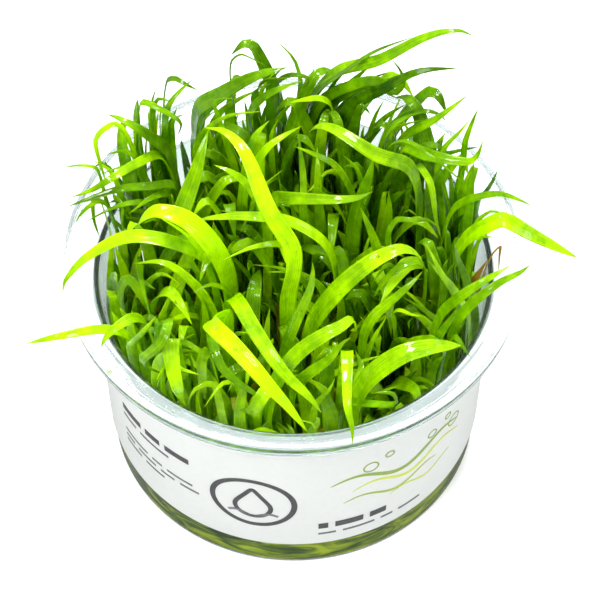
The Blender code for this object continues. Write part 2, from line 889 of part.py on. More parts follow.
def plantlet_object(name, root, first_bearing, blades, material):
    """A crown with each blade grown out of the side that it leaves from. A cone's first corner is on +Y."""
    bm = bmesh.new()
    turn = first_bearing + math.pi / CROWN_SIDES - math.pi / 2
    place = Matrix.Translation(Vector((*root, ROOT_HEIGHT + CROWN_HEIGHT / 2)) * MM)
    bmesh.ops.create_cone(
        bm,
        cap_ends=True,
        segments=CROWN_SIDES,
        radius1=CROWN_RADIUS * MM,
        radius2=CROWN_NECK * MM,
        depth=CROWN_HEIGHT * MM,
        matrix=place @ Matrix.Rotation(turn, 4, "Z"),
    )
    sides = [f for f in bm.faces if abs(f.normal.z) < 0.9]
    for rings, tip in blades:
        toward = bearing(np.mean(rings[0], axis=0), root)
        side = min(sides, key=lambda f: apart(toward, bearing(f.calc_center_median() / MM, root)))
        sides.remove(side)
        grow(bm, side, rings, tip)
    return add_object(name, bm, material)


def step_out(root, angle, distance, height):
    return (root[0] + math.cos(angle) * distance, root[1] + math.sin(angle) * distance, height)


def kept_inside(point):
    """Draws a point in from the wall, and one above the mouth in from the rim."""
    x, y, z = point
    limit = ROOM_RADIUS if z < MOUTH_HEIGHT else TOP_RADIUS
    share = min(1.0, limit / math.hypot(x, y))
    return (x * share, y * share, z)


def short_route(root, angle, chance):
    """An arching blade of a rosette. They stand lower at the front of the cup than at its back."""
    reach = chance.uniform(*SHORT_REACH)
    top = SHORT_TOP + SHORT_SLOPE * (root[1] + math.sin(angle) * reach) + chance.uniform(*SHORT_SPREAD)
    top = min(max(top, SHORT_LEAST), SHORT_MOST)
    lean = angle + chance.uniform(-SHORT_LEAN, SHORT_LEAN)
    points = leave_crown(root, angle)
    for out, up in SHORT_ARCH:
        points.append(step_out(root, lean, CROWN_RADIUS + out * reach, up * top))
    return [kept_inside(p) for p in points]


def make_leaves(bed, material, chance):
    for name, leaf in LEAVES.items():
        x, y = leaf["root"]
        route = [(x, y, ROOT_HEIGHT), (x, y, ROOT_HEIGHT + 6), *leaf["route"]]
        segments = leaf.get("segments", LEAF_SEGMENTS)
        blade = bed.place("leaf_" + name, route, leaf["width"], segments, chance, EASE_TRIES)
        if blade is None:
            raise RuntimeError("no clear way for leaf_" + name)
        leaf_object("leaf_" + name, blade, material)


def leave_crown(root, angle):
    """The first two points of a blade that leaves a crown on the side that faces angle."""
    points = []
    for out, up in (LEAVE_AT, RISE_TO):
        points.append(step_out(root, angle, CROWN_RADIUS + out, ROOT_HEIGHT + up * CROWN_HEIGHT))
    return points


def make_set_blades(node, plantlet, bed, chance):
    """Places the listed blades of a rosette. Returns the bearings of its free sides too."""
    root = plantlet["root"]
    first = bearing(plantlet["blades"][0]["route"][0], root)
    sides = [first + math.tau * k / CROWN_SIDES for k in range(CROWN_SIDES)]
    blades = []
    for listed in plantlet["blades"]:
        toward = bearing(listed["route"][0], root)
        side = min(sides, key=lambda angle: apart(angle, toward))
        sides.remove(side)
        route = [*leave_crown(root, side), *listed["route"]]
        segments = listed.get("segments", LEAF_SEGMENTS)
        blade = bed.place(node, route, listed["width"], segments, chance, EASE_TRIES)
        if blade is None:
            raise RuntimeError("no clear way for a blade of " + node)
        blades.append(blade)
    return dict(root=root, first=first, free=sides, blades=blades)


def make_short_blade(node, root, angle, bed, chance):
    """A short blade on one side of a crown, or None where there is no room for one."""
    width = chance.uniform(*SHORT_WIDTH)
    for attempt in range(SHORT_TRIES):
        route = short_route(root, angle, chance)
        blade = bed.place(node, route, width, SHORT_SEGMENTS, chance, SHORT_EASE_TRIES)
        if blade:
            return blade
    return None


def make_plantlets(bed, material, chance):
    """Every listed blade is placed first, because it has a set route, and then the short ones round it."""
    crowns = {}
    for name, plantlet in PLANTLETS.items():
        node = "plantlet_" + name
        crowns[node] = make_set_blades(node, plantlet, bed, chance)
    for node, crown in crowns.items():
        for angle in crown["free"]:
            blade = make_short_blade(node, crown["root"], angle, bed, chance)
            if blade:
                crown["blades"].append(blade)
        plantlet_object(node, crown["root"], crown["first"], crown["blades"], material)


def main():
    for old in list(bpy.data.objects):
        bpy.data.objects.remove(old, do_unlink=True)
    chance = random.Random(SEED)
    cup = turned("cup", cup_profile(), make_material("clear plastic", (0.86, 0.92, 0.95), 0.08, 1.0))
    label = turned("label", label_profile(), make_material("label", (0.93, 0.94, 0.93), 0.45))
    gel = turned("gel", gel_profile(), make_material("jelly", (0.30, 0.42, 0.03), 0.2))
    bed = Bed()
    for solid in (cup, label, gel):
        bed.add_solid(solid)
    for name, plantlet in PLANTLETS.items():
        bed.add_crown("plantlet_" + name, plantlet["root"])
    make_leaves(bed, make_material("leaf", (0.33, 0.60, 0.01), 0.3), chance)
    make_plantlets(bed, make_material("young leaf", (0.16, 0.38, 0.01), 0.35), chance)


main()
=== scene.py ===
import math
import random
from itertools import permutations

import bmesh
import bpy
import numpy as np
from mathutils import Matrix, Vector
from mathutils.bvhtree import BVHTree


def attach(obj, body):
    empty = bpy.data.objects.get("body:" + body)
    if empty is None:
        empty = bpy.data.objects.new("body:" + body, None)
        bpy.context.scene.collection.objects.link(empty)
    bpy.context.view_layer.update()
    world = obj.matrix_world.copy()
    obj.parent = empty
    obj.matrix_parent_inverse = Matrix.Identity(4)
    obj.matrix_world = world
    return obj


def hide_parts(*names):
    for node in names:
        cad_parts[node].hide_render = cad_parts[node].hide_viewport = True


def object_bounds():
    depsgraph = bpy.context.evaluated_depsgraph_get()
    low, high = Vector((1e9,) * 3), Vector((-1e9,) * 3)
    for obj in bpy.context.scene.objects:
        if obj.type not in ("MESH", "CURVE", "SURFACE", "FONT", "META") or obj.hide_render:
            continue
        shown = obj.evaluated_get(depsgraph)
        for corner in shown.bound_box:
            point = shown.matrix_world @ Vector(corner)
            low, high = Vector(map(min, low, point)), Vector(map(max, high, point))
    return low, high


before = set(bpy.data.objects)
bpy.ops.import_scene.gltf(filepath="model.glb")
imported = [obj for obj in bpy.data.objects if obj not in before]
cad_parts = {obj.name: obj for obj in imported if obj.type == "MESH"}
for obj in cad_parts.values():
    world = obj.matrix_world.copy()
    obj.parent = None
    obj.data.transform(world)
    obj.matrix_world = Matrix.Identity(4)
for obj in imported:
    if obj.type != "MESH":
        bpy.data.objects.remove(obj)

# A cup of young water plants: the clear cup, its printed band, the jelly, and every leaf of every plant.
# The CAD leaves are four-sided blades. Each is read here as a route with widths and made again as a
# curved leaf. Lengths of the pieces are in millimetres, and those of materials and studio in metres.

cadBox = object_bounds()
mm = 0.001
chance = random.Random(11)


# ---- making meshes

def addPiece(name, mesh, material, replaced=()):
    data = bpy.data.meshes.new(name)
    mesh.to_mesh(data)
    mesh.free()
    data.materials.append(material)
    data.shade_smooth()
    piece = bpy.data.objects.new(name, data)
    bpy.context.scene.collection.objects.link(piece)
    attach(piece, "root")
    if replaced:
        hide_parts(*replaced)
    return piece


def rounded(corners, steps=4):
    # rounds each (radius, height, rounding) corner of a section
    points = []
    for i, (r, z, rounding) in enumerate(corners):
        corner = Vector((r, z))
        if rounding == 0 or i in (0, len(corners) - 1):
            points.append(corner)
            continue
        before = Vector(corners[i - 1][:2]) - corner
        after = Vector(corners[i + 1][:2]) - corner
        start = corner + before.normalized() * min(rounding, before.length * 0.45)
        end = corner + after.normalized() * min(rounding, after.length * 0.45)
        for k in range(steps + 1):
            t = k / steps
            points.append(start * (1 - t) ** 2 + corner * 2 * t * (1 - t) + end * t * t)
    return points


def spun(points, steps):
    # turns a section given in millimetres about the cup's axis
    mesh = bmesh.new()
    verts = [mesh.verts.new((p.x * mm, 0, p.y * mm)) for p in points]
    edges = [mesh.edges.new(pair) for pair in zip(verts, verts[1:])]
    bmesh.ops.spin(
        mesh, geom=verts + edges, axis=(0, 0, 1), cent=(0, 0, 0),
        steps=steps, angle=math.tau, use_merge=True,
    )
    bmesh.ops.remove_doubles(mesh, verts=mesh.verts, dist=1e-6)
    bmesh.ops.recalc_face_normals(mesh, faces=mesh.faces)
    return mesh


# ---- materials

def newMaterial(name):
    material = bpy.data.materials.new(name)
    material.use_nodes = True
    nodes = material.node_tree.nodes
    return material, nodes, material.node_tree.links, nodes["Principled BSDF"], nodes["Material Output"]


def mathNode(nodes, links, operation, a, b=None, clamp=False):
    node = nodes.new("ShaderNodeMath")
    node.operation = operation
    node.use_clamp = clamp
    for socket, value in zip(node.inputs, (a, b)):
        if value is None:
            continue
        if isinstance(value, (int, float)):
            socket.default_value = value
        else:
            links.new(value, socket)
    return node.outputs[0]


def rampNode(nodes, links, factor, stops):
    node = nodes.new("ShaderNodeValToRGB")
    ramp = node.color_ramp
    while len(ramp.elements) < len(stops):
        ramp.elements.new(0.5)
    for element, (place, colour) in zip(ramp.elements, stops):
        element.position = place
        element.color = (*colour, 1)
    links.new(factor, node.inputs[0])
    return node.outputs[0]


def mixColour(nodes, links, blend, factor, a, b):
    node = nodes.new("ShaderNodeMix")
    node.data_type = "RGBA"
    node.blend_type = blend
    for socket, value in zip((node.inputs[0], node.inputs[6], node.inputs[7]), (factor, a, b)):
        if isinstance(value, (int, float)):
            socket.default_value = value
        elif isinstance(value, tuple):
            socket.default_value = (*value, 1)
        else:
            links.new(value, socket)
    return node.outputs[2]


def bumpNode(nodes, links, height, strength, distance):
    node = nodes.new("ShaderNodeBump")
    node.inputs["Strength"].default_value = strength
    node.inputs["Distance"].default_value = distance
    links.new(height, node.inputs["Height"])
    return node.outputs[0]


def objectPlace(nodes):
    return nodes.new("ShaderNodeTexCoord").outputs["Object"]


def grainPattern():
    # fine even grain, for the plastic, the film, the ink and the water
    group = bpy.data.node_groups.new("fineGrain", "ShaderNodeTree")
    for name, way in (("Scale", "INPUT"), ("Detail", "INPUT"), ("Grain", "OUTPUT")):
        group.interface.new_socket(name, in_out=way, socket_type="NodeSocketFloat")
    nodes, links = group.nodes, group.links
    given = nodes.new("NodeGroupInput")
    noise = nodes.new("ShaderNodeTexNoise")
    links.new(objectPlace(nodes), noise.inputs["Vector"])
    links.new(given.outputs["Scale"], noise.inputs["Scale"])
    links.new(given.outputs["Detail"], noise.inputs["Detail"])
    links.new(noise.outputs[0], nodes.new("NodeGroupOutput").inputs[0])
    return group


fineGrain = grainPattern()


def grainNode(nodes, scale, detail=2):
    node = nodes.new("ShaderNodeGroup")
    node.node_tree = fineGrain
    node.inputs["Scale"].default_value = scale
    node.inputs["Detail"].default_value = detail
    return node.outputs[0]


plasticLook = dict(
    colour=(0.85, 0.935, 0.95), mirror=(0.15, 0.16, 0.17), ior=1.42, clear=0.985,
    roughness=0.2, speckle=900, speckleDetail=3, speckleBump=0.35, speckleDepth=0.00005,
)


def clearPlastic():
    look = plasticLook
    material, nodes, links, shader, output = newMaterial("clearPlastic")
    shader.inputs["Base Color"].default_value = (*look["colour"], 1)
    shader.inputs["Transmission Weight"].default_value = look["clear"]
    shader.inputs["IOR"].default_value = look["ior"]
    shader.inputs["Specular Tint"].default_value = (*look["mirror"], 1)
    grain = grainNode(nodes, look["speckle"], look["speckleDetail"])
    links.new(mathNode(nodes, links, "MULTIPLY", grain, look["roughness"]), shader.inputs["Roughness"])
    bump = bumpNode(nodes, links, grain, look["speckleBump"], look["speckleDepth"])
    links.new(bump, shader.inputs["Normal"])
    return material


leafLook = dict(
    deep=(0.035, 0.14, 0.0),
    middle=(0.22, 0.50, 0.0),
    light=(0.62, 0.95, 0.0),
    base=(0.55, 0.62, 0.16),  # pale foot
    brown=(0.30, 0.13, 0.02),
    straw=(0.62, 0.42, 0.05),
    # noise patterns as scale, detail and how far they change the tone
    blotch=(130, 3, 1.0),
    streak=(1.4, 4, 0.5),
    fleck=(520, 2, 0.35),
    streakAcross=6.0, streakAlong=0.5, streakShift=40.0,
    veins=9, veinTone=0.06,
    midribWidth=7.0, midribTone=0.08,
    footLength=0.55, footShare=0.7,
    ageing=1.15,
    pool=(190, 3), poolFrom=0.5, poolEdge=12.0, poolDepth=0.7, dewy=0.3,  # where water lies
    veinHeight=0.5, streakHeight=0.9, blotchHeight=1.1,
    bump=0.6, depth=0.0002,
    sheen=(0.80, 1.0, 0.25), gloss=0.4, roughness=0.36, ior=1.42,
    wet=0.05, wetIor=1.5,
    glow=0.48, glowColour=(1.0, 1.0, 0.3),
)


def leafPattern():
    # the varying parts of a leaf's look: its colour, where it is wet, and the height of its veins
    look = leafLook
    group = bpy.data.node_groups.new("leafPattern", "ShaderNodeTree")
    for name, kind in (("Colour", "Color"), ("Wet", "Float"), ("Height", "Float")):
        group.interface.new_socket(name, in_out="OUTPUT", socket_type="NodeSocket" + kind)
    nodes, links = group.nodes, group.links
    uv = nodes.new("ShaderNodeUVMap")
    uv.uv_map = "leafMap"
    split = nodes.new("ShaderNodeSeparateXYZ")
    links.new(uv.outputs[0], split.inputs[0])
    across, along = split.outputs[0], split.outputs[1]
    tone = nodes.new("ShaderNodeAttribute")
    tone.attribute_name = "tone"
    age = nodes.new("ShaderNodeAttribute")
    age.attribute_name = "age"
    place = objectPlace(nodes)

    def noise(vector, scale, detail):
        node = nodes.new("ShaderNodeTexNoise")
        node.inputs["Scale"].default_value = scale
        node.inputs["Detail"].default_value = detail
        links.new(vector, node.inputs["Vector"])
        return node.outputs[0]

    def add(a, b):
        return mathNode(nodes, links, "ADD", a, b)

    def times(a, b, clamp=False):
        return mathNode(nodes, links, "MULTIPLY", a, b, clamp)

    def either(value, depth):
        # changes the tone up and down by a pattern
        return times(add(value, -0.5), depth)

    # blotches change the leaf's tone slowly, and long streaks run with its veins
    blotch = noise(place, *look["blotch"][:2])
    stretch = nodes.new("ShaderNodeCombineXYZ")
    links.new(times(across, look["streakAcross"]), stretch.inputs[0])
    links.new(times(along, look["streakAlong"]), stretch.inputs[1])
    links.new(times(tone.outputs["Fac"], look["streakShift"]), stretch.inputs[2])
    streak = noise(stretch.outputs[0], *look["streak"][:2])
    veins = mathNode(nodes, links, "SINE", times(across, look["veins"] * math.pi / 2))
    veins = mathNode(nodes, links, "ABSOLUTE", veins)
    midrib = times(mathNode(nodes, links, "ABSOLUTE", across), look["midribWidth"])
    midrib = mathNode(nodes, links, "SUBTRACT", 1.0, midrib, True)
    # the level starts from the tone attribute: each leaf's lightness, partly its own colour and partly
    # painted light
    level = add(tone.outputs["Fac"], either(blotch, look["blotch"][2]))
    level = add(level, either(streak, look["streak"][2]))
    level = add(level, either(noise(place, *look["fleck"][:2]), look["fleck"][2]))
    level = add(level, times(veins, look["veinTone"]))
    level = mathNode(nodes, links, "ADD", level, times(midrib, look["midribTone"]), True)
    tones = [(0.0, look["deep"]), (0.5, look["middle"]), (1.0, look["light"])]
    colour = rampNode(nodes, links, level, tones)
    foot = mathNode(nodes, links, "SUBTRACT", 1.0, times(along, look["footLength"]), True)
    colour = mixColour(nodes, links, "MIX", times(foot, look["footShare"]), colour, look["base"])
    worn = mixColour(nodes, links, "MIX", streak, look["brown"], look["straw"])
    spread = add(age.outputs["Fac"], either(blotch, age.outputs["Fac"]))
    colour = mixColour(nodes, links, "MIX", times(spread, look["ageing"], True), colour, worn)

    # water lies in patches on a leaf that is a little wet all over
    pool = times(add(noise(place, *look["pool"]), -look["poolFrom"]), look["poolEdge"], True)
    pool = add(times(pool, look["poolDepth"]), look["dewy"])
    height = add(times(veins, look["veinHeight"]), times(streak, look["streakHeight"]))
    height = add(height, times(blotch, look["blotchHeight"]))
    ends = nodes.new("NodeGroupOutput")
    links.new(colour, ends.inputs[0])
    links.new(pool, ends.inputs[1])
    links.new(height, ends.inputs[2])
    return group


def leafMaterial(name, pattern):
    look = leafLook
    material, nodes, links, shader, output = newMaterial(name)
    shape = nodes.new("ShaderNodeGroup")
    shape.node_tree = pattern
    colour, wet, height = shape.outputs[0], shape.outputs[1], shape.outputs[2]
    links.new(colour, shader.inputs["Base Color"])
    bump = bumpNode(nodes, links, height, look["bump"], look["depth"])
    links.new(bump, shader.inputs["Normal"])
    shader.inputs["Roughness"].default_value = look["roughness"]
    shader.inputs["IOR"].default_value = look["ior"]
    shader.inputs["Specular Tint"].default_value = (*look["sheen"], 1)
    shader.inputs["Specular IOR Level"].default_value = look["gloss"]
    links.new(wet, shader.inputs["Coat Weight"])
    shader.inputs["Coat Roughness"].default_value = look["wet"]
    shader.inputs["Coat IOR"].default_value = look["wetIor"]

    # light that comes through the leaf
    through = nodes.new("ShaderNodeBsdfTranslucent")
    tint = mixColour(nodes, links, "MULTIPLY", 1.0, colour, look["glowColour"])
    links.new(tint, through.inputs["Color"])
    links.new(bump, through.inputs["Normal"])
    blendShaders(nodes, links, look["glow"], shader, through, output)
    return material


def blendShaders(nodes, links, share, first, second, output):
    blend = nodes.new("ShaderNodeMixShader")
    blend.inputs[0].default_value = share
    links.new(first.outputs[0], blend.inputs[1])
    links.new(second.outputs[0], blend.inputs[2])
    links.new(blend.outputs[0], output.inputs["Surface"])


gelLook = dict(
    # cloud level and colour
    stops=[(0.36, (0.025, 0.055, 0.0)), (0.5, (0.12, 0.19, 0.0)), (0.68, (0.5, 0.6, 0.01))],
    scale=95, detail=4, distortion=1.6, turn=(0.25, 0.2, 0), stretch=(0.8, 0.8, 2.6),
    roughness=0.3, gloss=0.0, bump=0.5, depth=0.0004,
)


def gelMaterial():
    look = gelLook
    material, nodes, links, shader, output = newMaterial("nutrientJelly")
    squash = nodes.new("ShaderNodeMapping")
    squash.inputs["Rotation"].default_value = look["turn"]
    squash.inputs["Scale"].default_value = look["stretch"]
    links.new(objectPlace(nodes), squash.inputs["Vector"])
    cloud = nodes.new("ShaderNodeTexNoise")
    cloud.inputs["Scale"].default_value = look["scale"]
    cloud.inputs["Detail"].default_value = look["detail"]
    cloud.inputs["Distortion"].default_value = look["distortion"]
    links.new(squash.outputs[0], cloud.inputs["Vector"])
    links.new(rampNode(nodes, links, cloud.outputs[0], look["stops"]), shader.inputs["Base Color"])
    shader.inputs["Roughness"].default_value = look["roughness"]
    shader.inputs["Specular IOR Level"].default_value = look["gloss"]
    bump = bumpNode(nodes, links, cloud.outputs[0], look["bump"], look["depth"])
    links.new(bump, shader.inputs["Normal"])
    return material


labelLook = dict(
    colour=(0.79, 0.80, 0.79), shade=(0.73, 0.75, 0.74), roughness=0.42, coat=0.25,
    fibre=700, fibreDetail=4, bump=0.12, depth=0.00003,
    # glow and inner paint light onto the film's inner side, as an emission
    through=0.36, glow=1.2, inner=-0.02,
)


def labelMaterial():
    look = labelLook
    material, nodes, links, shader, output = newMaterial("labelFilm")
    fibre = grainNode(nodes, look["fibre"], look["fibreDetail"])
    tint = mixColour(nodes, links, "MIX", fibre, look["colour"], look["shade"])
    links.new(tint, shader.inputs["Base Color"])
    # painted light: the inner side of the film is given an emission glow in the film's own colour, standing
    # in for the light from outside that comes through it
    inward = nodes.new("ShaderNodeVectorMath")
    inward.operation = "DOT_PRODUCT"
    links.new(objectPlace(nodes), inward.inputs[0])
    links.new(nodes.new("ShaderNodeNewGeometry").outputs["Normal"], inward.inputs[1])
    inner = mathNode(nodes, links, "LESS_THAN", inward.outputs["Value"], look["inner"])
    glow = mixColour(nodes, links, "MIX", inner, (0.0, 0.0, 0.0), look["colour"])
    links.new(glow, shader.inputs["Emission Color"])
    shader.inputs["Emission Strength"].default_value = look["glow"]
    shader.inputs["Roughness"].default_value = look["roughness"]
    shader.inputs["Coat Weight"].default_value = look["coat"]
    links.new(bumpNode(nodes, links, fibre, look["bump"], look["depth"]), shader.inputs["Normal"])
    through = nodes.new("ShaderNodeBsdfTranslucent")
    links.new(tint, through.inputs["Color"])
    blendShaders(nodes, links, look["through"], shader, through, output)
    return material


# ---- the cup, its printed band and the jelly

cupSize = dict(
    height=60.5, rimRadius=50.0, mouthRadius=45.2,
    baseRadius=42.3, shoulderRadius=43.3, shoulderHeight=55.5, wall=0.8, floor=0.55,
    lipDepth=3.3, flangeDish=1.7, flangeThickness=1.1, steps=192,
)


def wallRadius(z):
    size = cupSize
    return size["baseRadius"] + (size["shoulderRadius"] - size["baseRadius"]) * z / size["shoulderHeight"]


def makeCup():
    size = cupSize
    top = size["height"]
    mouth = top - size["flangeDish"]
    under = mouth - size["flangeThickness"]
    rim = size["rimRadius"]
    inner = size["baseRadius"] - size["wall"]
    # radius, height and rounding: up the outside, over the rim and down the inside
    corners = [
        (0, 0, 0),
        (size["baseRadius"], 0, 0.9),
        (size["shoulderRadius"], size["shoulderHeight"], 0.8),
        (size["mouthRadius"] - 0.5, under, 0.8),
        (rim - 1.7, under + 1.0, 0.6),
        (rim - 1.2, top - size["lipDepth"], 0.25),
        (rim - 0.4, top - size["lipDepth"], 0.25),
        (rim, top - 0.25, 0.5),
        (rim - 0.6, top, 0.35),
        (rim - 1.3, top - 0.15, 0.15),
        (rim - 1.5, top - 0.35, 0.1),
        (rim - 2.1, top - 0.42, 0.1),
        (rim - 2.3, top - 0.62, 0.1),
        (size["mouthRadius"] + 1.2, mouth + 0.45, 0.3),
        (size["mouthRadius"] + 0.9, mouth + 0.28, 0.15),
        (size["mouthRadius"], mouth, 0.4),
        (size["shoulderRadius"] - size["wall"], size["shoulderHeight"] - 0.4, 0.8),
        (inner, size["floor"], 0.5),
        (0, size["floor"], 0),
    ]
    mesh = spun(rounded(corners), size["steps"])
    return addPiece("cultureCup", mesh, clearPlastic(), ("cup",))


bandSize = dict(low=9.3, high=54.3, gap=0.3, thickness=0.25, steps=192)


def makeBand():
    size = bandSize
    bottom, top = size["low"], size["high"]
    low, high = wallRadius(bottom) + size["gap"], wallRadius(top) + size["gap"]
    thick = size["thickness"]
    corners = ((low, bottom), (low + thick, bottom), (high + thick, top), (high, top), (low, bottom))
    mesh = spun([Vector(corner) for corner in corners], size["steps"])
    band = addPiece("printedBand", mesh, labelMaterial(), ("label",))
    band.data.set_sharp_from_angle(angle=math.radians(40))
    return band


inkLook = dict(
    stops=[
        (0.0, (0.018, 0.019, 0.022)),
        (0.35, (0.13, 0.135, 0.145)),
        (0.7, (0.20, 0.33, 0.004)),
        (1.0, (0.52, 0.62, 0.02)),
    ],
    roughness=0.45, grain=1500, worn=0.12, paper=(0.8, 0.8, 0.8),
)


def inkMaterial():
    look = inkLook
    material, nodes, links, shader, output = newMaterial("printInk")
    ink = nodes.new("ShaderNodeAttribute")
    ink.attribute_name = "ink"
    colour = rampNode(nodes, links, ink.outputs["Fac"], look["stops"])
    fade = mathNode(nodes, links, "MULTIPLY", grainNode(nodes, look["grain"]), look["worn"])
    links.new(mixColour(nodes, links, "MIX", fade, colour, look["paper"]), shader.inputs["Base Color"])
    shader.inputs["Roughness"].default_value = look["roughness"]
    return material


# the print's plan, in millimetres along the band from its front and up from the table
printPlan = dict(
    raised=0.02, thickness=0.05,
    grey=0.0, pale=0.35, olive=0.7,
    ring=dict(place=(-9.0, 26.5), radius=9.2, stroke=1.3),
    drop=dict(place=(-9.0, 24.8), radius=4.0, stroke=1.1, point=7.4, narrow=0.55),
    level=dict(start=(-14.6, 21.6), length=11.2, stroke=0.8, wave=0.7, waves=1.5, parts=24),
    rows=[
        # left end, height, stroke and the lengths of its dashes
        (-45.0, 34.5, 2.0, (7.0, 4.5, 6.5)),
        (-45.0, 31.3, 0.8, (5.0, 9.0)),
        (-45.0, 25.0, 0.7, (8.5, 3.0, 7.0)),
        (-45.0, 22.8, 0.7, (3.5, 6.0, 4.0, 5.0)),
        (-45.0, 20.6, 0.7, (6.0, 6.0)),
        (5.5, 17.0, 2.2, (2.2, 6.5, 4.0)),
        (5.5, 13.6, 0.7, (4.0, 7.5, 3.0, 6.0)),
    ],
    ripples=[
        # left end, height, length, rise, stroke, how many waves, ink
        (8.0, 33.5, 34.0, 2.2, 1.15, 1.5, 0.7),
        (13.0, 29.6, 30.0, 1.8, 0.9, 1.6, 1.0),
        (11.0, 25.4, 24.0, 1.5, 0.7, 1.4, 0.78),
        (22.0, 22.4, 18.0, 1.1, 0.55, 1.3, 0.95),
    ],
    rippleParts=48, rippleEnd=0.12,
    bubbles=[(17.0, 37.8, 1.7), (21.4, 40.2, 1.0), (33.0, 37.4, 1.2), (40.5, 34.6, 1.9), (38.0, 38.9, 0.9)],
    bubbleStroke=0.35, roundParts=64, space=1.6, faint=0.6,
    back=dict(
        start=118.0, rows=((46.0, 14), (42.5, 11), (39.0, 13), (35.5, 12), (32.0, 9)),
        stroke=0.7, dashes=(2.0, 3.0, 4.5),
    ),
)


def onBand(along, height):
    size = bandSize
    radius = wallRadius(height) + size["gap"] + size["thickness"] + printPlan["raised"]
    angle = along / (cupSize["baseRadius"] + 1)
    return Vector((radius * math.sin(angle), -radius * math.cos(angle), height)) * mm


def stroke(mesh, points, widths, ink):
    # one printed line along the given points of the band
    last = len(points) - 1
    made = bmesh.ops.create_grid(mesh, x_segments=last, y_segments=1, size=1)["verts"]
    inkLayer = mesh.verts.layers.float["ink"]
    for vert in made:
        i = round((vert.co.x + 1) / 2 * last)
        before, after = Vector(points[max(i - 1, 0)]), Vector(points[min(i + 1, last)])
        if points[0] == points[-1] and i in (0, last):
            before, after = Vector(points[-2]), Vector(points[1])
        run = (after - before).normalized()
        offset = Vector((-run.y, run.x)) * widths[i] / 2 * (1 if vert.co.y > 0 else -1)
        vert.co = onBand(points[i][0] + offset.x, points[i][1] + offset.y)
        vert[inkLayer] = ink


def dashes(mesh, start, height, width, lengths, ink):
    for length in lengths:
        count = max(int(length), 2)
        points = [(start + length * k / count, height) for k in range(count + 1)]
        stroke(mesh, points, [width] * (count + 1), ink)
        start += length + printPlan["space"]


def makePrint():
    plan = printPlan
    mesh = bmesh.new()
    mesh.verts.layers.float.new("ink")
    parts = plan["roundParts"]
    turns = [math.tau * k / parts for k in range(parts)] + [0.0]

    def ringPoints(x, z, radius):
        return [(x + radius * math.cos(a), z + radius * math.sin(a)) for a in turns]

    ring = plan["ring"]
    stroke(mesh, ringPoints(*ring["place"], ring["radius"]), [ring["stroke"]] * len(turns), plan["grey"])
    drop = plan["drop"]
    x, z = drop["place"]
    outline = []
    for a in turns:
        # round below, drawn out to a point above
        lift = max(math.sin(a), 0) ** 3
        out = drop["radius"] * math.cos(a) * (1 - drop["narrow"] * lift)
        rise = lift * (drop["point"] - drop["radius"])
        outline.append((x + out, z + math.sin(a) * drop["radius"] + rise))
    stroke(mesh, outline, [drop["stroke"]] * len(turns), plan["grey"])
    level = plan["level"]
    x, z = level["start"]
    points = []
    for k in range(level["parts"] + 1):
        share = k / level["parts"]
        wave = level["wave"] * math.sin(share * math.tau * level["waves"])
        points.append((x + level["length"] * k / level["parts"], z + wave))
    stroke(mesh, points, [level["stroke"]] * len(points), plan["pale"])
    for x, z, width, lengths in plan["rows"]:
        dashes(mesh, x, z, width, lengths, plan["grey"] if width > 1 else plan["pale"] * plan["faint"])
    for x, z, length, rise, width, waves, ink in plan["ripples"]:
        points, widths = [], []
        for k in range(plan["rippleParts"] + 1):
            share = k / plan["rippleParts"]
            points.append((x + length * share, z + rise * math.sin(share * waves * math.tau)))
            widths.append(width * (plan["rippleEnd"] + math.sin(share * math.pi) ** 0.7))
        stroke(mesh, points, widths, ink)
    for x, z, radius in plan["bubbles"]:
        stroke(mesh, ringPoints(x, z, radius), [plan["bubbleStroke"]] * len(turns), plan["olive"])
    back = plan["back"]
    for z, count in back["rows"]:
        lengths = [chance.choice(back["dashes"]) for _ in range(count)]
        dashes(mesh, back["start"], z, back["stroke"], lengths[: count // 2 + 1], plan["pale"])
    mesh.normal_update()
    for face in mesh.faces:
        centre = face.calc_center_median()
        if face.normal.dot(Vector((centre.x, centre.y, 0))) < 0:
            face.normal_flip()
    bmesh.ops.solidify(mesh, geom=mesh.faces[:], thickness=-plan["thickness"] * mm)
    piece = addPiece("bandPrint", mesh, inkMaterial())
    piece.data.set_sharp_from_angle(angle=math.radians(40))
    return piece


# wet jelly has no air between it and the cup, so it reaches a hair into the wall and the floor
jellySize = dict(low=0.52, top=12.0, edge=0.6, gap=-0.03, steps=128)


def makeJelly():
    size = jellySize
    low = cupSize["baseRadius"] - cupSize["wall"] - size["gap"]
    high = wallRadius(size["top"]) - cupSize["wall"] - size["gap"]
    corners = [
        (0, size["low"], 0),
        (low, size["low"], 0.5),
        (high, size["top"] + size["edge"], 0.2),
        (high - 1.5, size["top"], 0.8),
        (high * 0.66, size["top"], 0.3),
        (high * 0.33, size["top"], 0.3),
        (0, size["top"], 0),
    ]
    mesh = spun(rounded(corners), size["steps"])
    return addPiece("nutrientJelly", mesh, gelMaterial(), ("gel",))


# ---- leaves

def mergedCopy(node):
    mesh = bmesh.new()
    mesh.from_mesh(node.data)
    bmesh.ops.remove_doubles(mesh, verts=mesh.verts, dist=0.00001)
    mesh.verts.index_update()
    return mesh


# a rosette's crown has its corners at these heights, and a leaf starts a little below the lower ones
crown = dict(heights=(12.3, 14.7), near=0.02, below=0.6)
sharpTip = 150  # the faces round a leaf's tip have less than this between them, in degrees


def atCrown(point):
    return min(abs(point.z - height * mm) for height in crown["heights"]) < crown["near"] * mm


def ringsFrom(tip):
    # walks from a leaf's tip to its foot, four corners at a time
    seen = {tip}
    layer = [tip]
    rings = []
    while True:
        onward = {e.other_vert(v) for v in layer for e in v.link_edges} - seen
        layer = sorted(onward, key=lambda v: v.index)
        if len(layer) != 4:
            break
        if all(atCrown(v.co) for v in layer):
            break
        seen.update(layer)
        rings.append([v.co.copy() for v in layer])
    return rings[::-1]


def middle(points):
    return sum(points, Vector()) / len(points)


